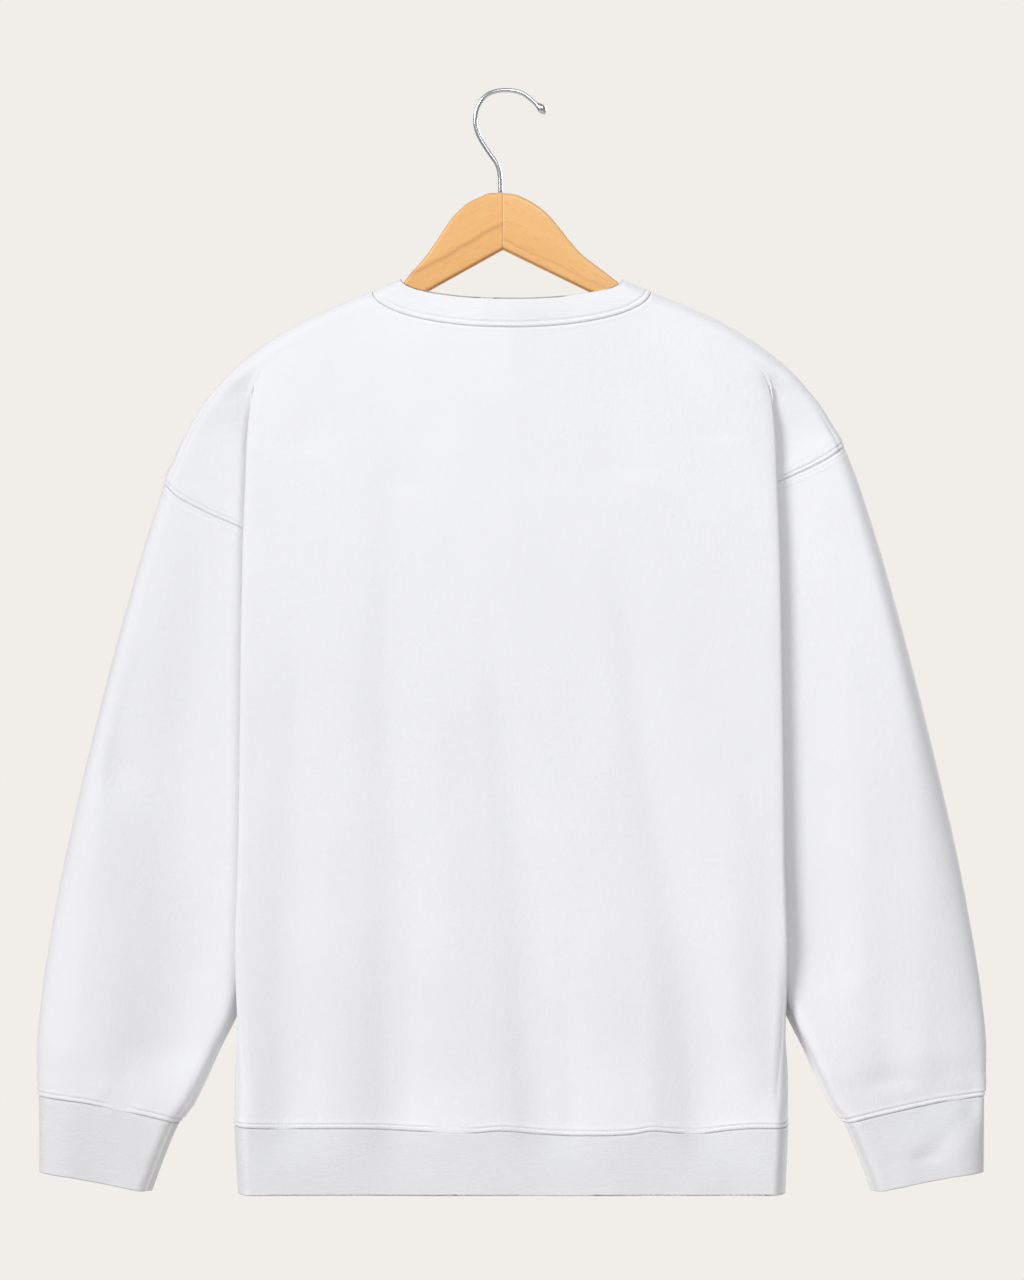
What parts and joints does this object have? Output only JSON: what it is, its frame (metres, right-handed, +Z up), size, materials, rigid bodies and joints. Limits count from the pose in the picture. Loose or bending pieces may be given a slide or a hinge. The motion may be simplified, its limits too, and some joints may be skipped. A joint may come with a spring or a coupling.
{
  "type": "crewneck sweatshirt on a wooden hanger",
  "caption": "Loose fleece crewneck sweatshirt with dropped shoulders and ribbed neck, cuffs and hem, hanging on a wooden hanger with a chrome hook",
  "frame": {"origin": "the inside top of the hook, where it rests on a rail", "axes": "+Z up, the back of the garment faces -Y, its front faces +Y, and the wearer's right arm is at +X"},
  "size_m": [0.7972, 0.0887, 0.9272],
  "materials": {
    "fleece": "matt cotton fleece",
    "rib_knit": "matt rib knit",
    "hanger_wood": "satin lacquer",
    "hook_chrome": "polished"
  },
  "bodies": {
    "root": {"back_panel": "fleece", "front_panel": "fleece", "sleeve_left": "fleece", "sleeve_right": "fleece", "cuff_left": "rib_knit", "cuff_right": "rib_knit", "hem_rib": "rib_knit", "neck_rib": "rib_knit", "hanger_left": "hanger_wood", "hanger_right": "hanger_wood", "hanger_hook": "hook_chrome"}
  },
  "joints": []
}
